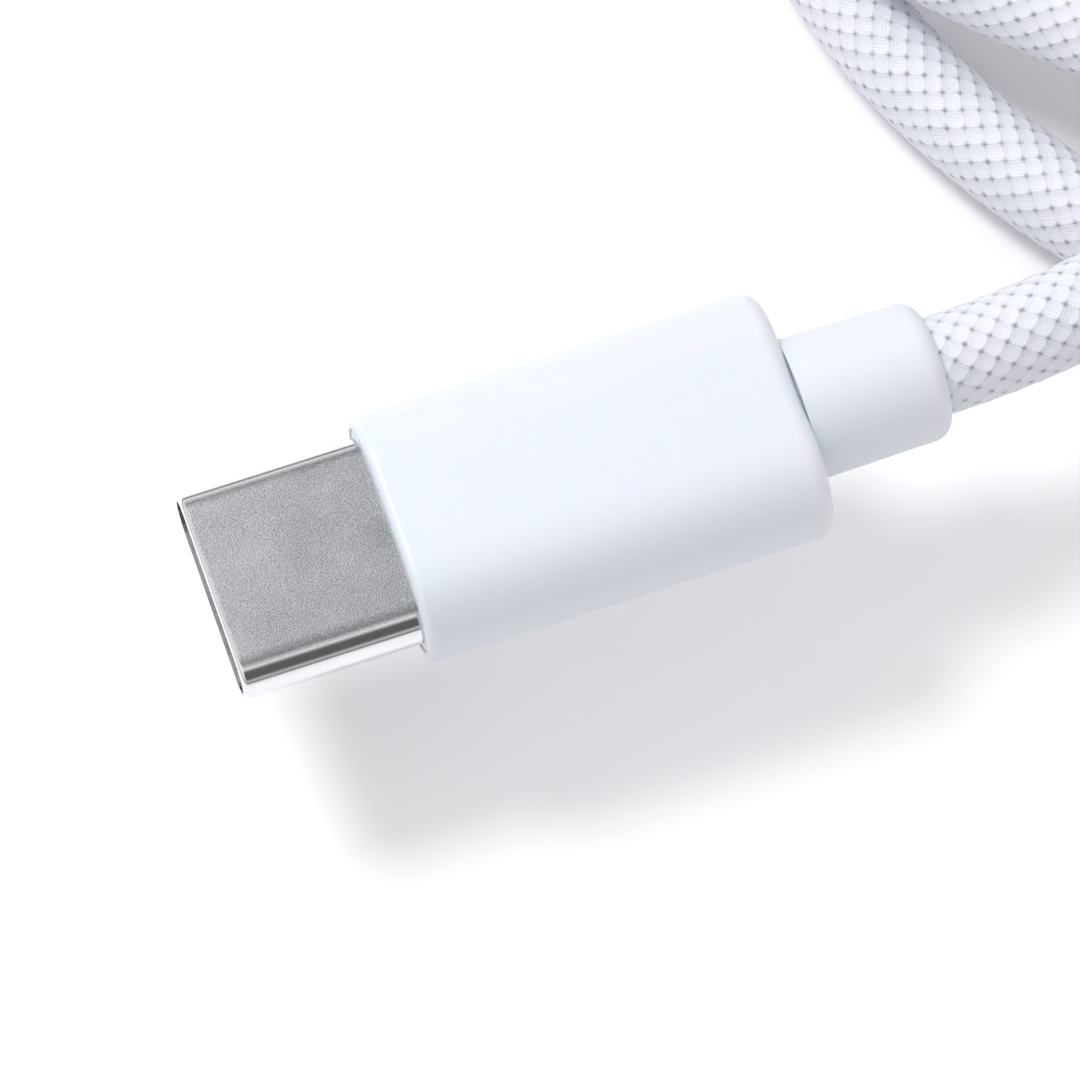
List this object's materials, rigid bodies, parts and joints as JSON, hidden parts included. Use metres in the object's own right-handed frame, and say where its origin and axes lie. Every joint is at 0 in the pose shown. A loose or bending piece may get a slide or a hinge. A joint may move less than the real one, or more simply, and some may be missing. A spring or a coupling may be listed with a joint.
{
  "type": "charging cable",
  "caption": "Slim charging cable with a flat oval metal plug in a rounded plastic housing, a round collar and a woven sleeve, kept in a loose tied coil.",
  "frame": {"origin": "centre of the near plug's bounding box (metal tip to the end of its collar)", "axes": "+X from the plug's metal tip towards its cable, +Y across the plug's width, +Z out of the plug's flat top and away from the surface the coil lies on"},
  "size_m": [0.0907, 0.0535, 0.013],
  "materials": {
    "shell_steel": "fine bead-blasted nickel plating with polished rolled edges",
    "white_plastic": "smooth satin gloss",
    "collar_plastic": "smooth satin gloss, slightly softer",
    "insulator": "moulded, matt",
    "contact_gold": "gold plated",
    "spring_steel": "stamped",
    "board": "solder mask",
    "chip": "moulded",
    "ceramic": "fired ceramic",
    "can_steel": "stamped tin plate",
    "ferrule": "crimped",
    "mould": "low pressure moulding",
    "jacket": "extruded",
    "woven_sleeve": "fine over and under weave",
    "solder": "bright solder",
    "wire_red": "insulation",
    "wire_black": "insulation",
    "wire_blue": "insulation",
    "wire_green": "insulation",
    "wire_white": "insulation",
    "tie": "soft strap"
  },
  "bodies": {
    "cable": {"plug_shell": "shell_steel", "housing": "white_plastic", "front_bezel": "white_plastic", "strain_relief": "collar_plastic", "contact_carrier": "insulator", "contacts_upper": "contact_gold", "contacts_lower": "contact_gold", "emi_pad_upper": "spring_steel", "emi_pad_lower": "spring_steel", "mid_plate": "spring_steel", "paddle_card": "board", "id_chip": "chip", "board_passives": "ceramic", "shield_can_upper": "can_steel", "shield_can_lower": "can_steel", "crimp_ferrule": "ferrule", "inner_mould": "mould", "cable_jacket": "jacket", "sleeve_end": "woven_sleeve", "solder_joints": "solder", "wire_vbus": "wire_red", "wire_gnd": "wire_black", "wire_cc": "wire_blue", "wire_dp": "wire_green", "wire_dm": "wire_white", "far_plug_shell": "shell_steel", "far_housing": "white_plastic", "far_front_bezel": "white_plastic", "far_strain_relief": "collar_plastic", "far_contact_carrier": "insulator", "far_contacts_upper": "contact_gold", "far_contacts_lower": "contact_gold", "far_inner_mould": "mould", "far_sleeve_end": "woven_sleeve", "far_cable_jacket": "jacket", "cord_lead": "woven_sleeve", "cord_tail": "woven_sleeve", "cable_coil": "woven_sleeve", "coil_tie": "tie"},
    "left_latch": {"latch_left": "spring_steel"},
    "right_latch": {"latch_right": "spring_steel"}
  },
  "joints": [
    {"name": "latch_left_flex", "type": "hinge", "parent": "cable", "child": "left_latch", "pos_m": [-0.00555, 0.00342, 0], "axis": [0, 0, -1], "range_deg": [0, 1.9], "stiffness_Nm_per_rad": 0.1},
    {"name": "latch_right_flex", "type": "hinge", "parent": "cable", "child": "right_latch", "pos_m": [-0.00555, -0.00342, 0], "axis": [0, 0, 1], "range_deg": [0, 1.9], "stiffness_Nm_per_rad": 0.1}
  ]
}
